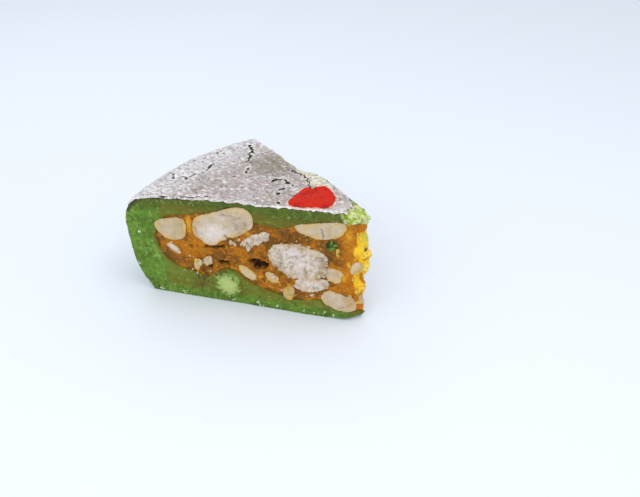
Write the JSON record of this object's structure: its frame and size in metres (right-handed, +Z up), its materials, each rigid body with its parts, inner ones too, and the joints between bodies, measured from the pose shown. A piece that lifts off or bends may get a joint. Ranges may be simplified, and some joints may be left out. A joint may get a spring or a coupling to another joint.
{
  "type": "cashew sandwich sweet",
  "caption": "Wedge cut from a round layered sweet: green pistachio dough wrapped round orange nut paste with cashew pieces, silver leaf and a red dab on top.",
  "frame": {"origin": "middle of the bottom of the piece's box, on the surface it rests on", "axes": "+X along the wedge's centre line towards its cut tip, +Y towards its back cut, +Z up"},
  "size_m": [0.0638, 0.0474, 0.0323],
  "materials": {
    "pistachio_dough": "soft, moist, finely grained green dough",
    "nut_paste": "sticky orange-brown paste with crumbs",
    "cashew": "cut cashew, cream with stained rims",
    "pistachio_nut": "dark green nut",
    "silver_leaf": "crinkled, torn silver leaf",
    "red_dab": "moist red colouring"
  },
  "bodies": {
    "root": {"cashew_back_01": "cashew", "cashew_back_02": "cashew", "cashew_back_03": "cashew", "cashew_back_04": "cashew", "cashew_back_05": "cashew", "cashew_back_06": "cashew", "cashew_back_07": "cashew", "cashew_back_08": "cashew", "cashew_back_09": "cashew", "cashew_back_10": "cashew", "cashew_back_11": "cashew", "cashew_back_12": "cashew", "cashew_back_13": "cashew", "cashew_front_01": "cashew", "cashew_front_02": "cashew", "cashew_front_03": "cashew", "cashew_front_04": "cashew", "cashew_front_05": "cashew", "cashew_front_06": "cashew", "cashew_front_07": "cashew", "cashew_front_08": "cashew", "cashew_front_09": "cashew", "cashew_front_10": "cashew", "cashew_front_11": "cashew", "cashew_front_12": "cashew", "cashew_front_13": "cashew", "cashew_front_14": "cashew", "cashew_front_15": "cashew", "nut_paste": "nut_paste", "pistachio_bit": "pistachio_nut", "pistachio_shell": "pistachio_dough", "red_dab": "red_dab", "silver_leaf": "silver_leaf"}
  },
  "joints": []
}
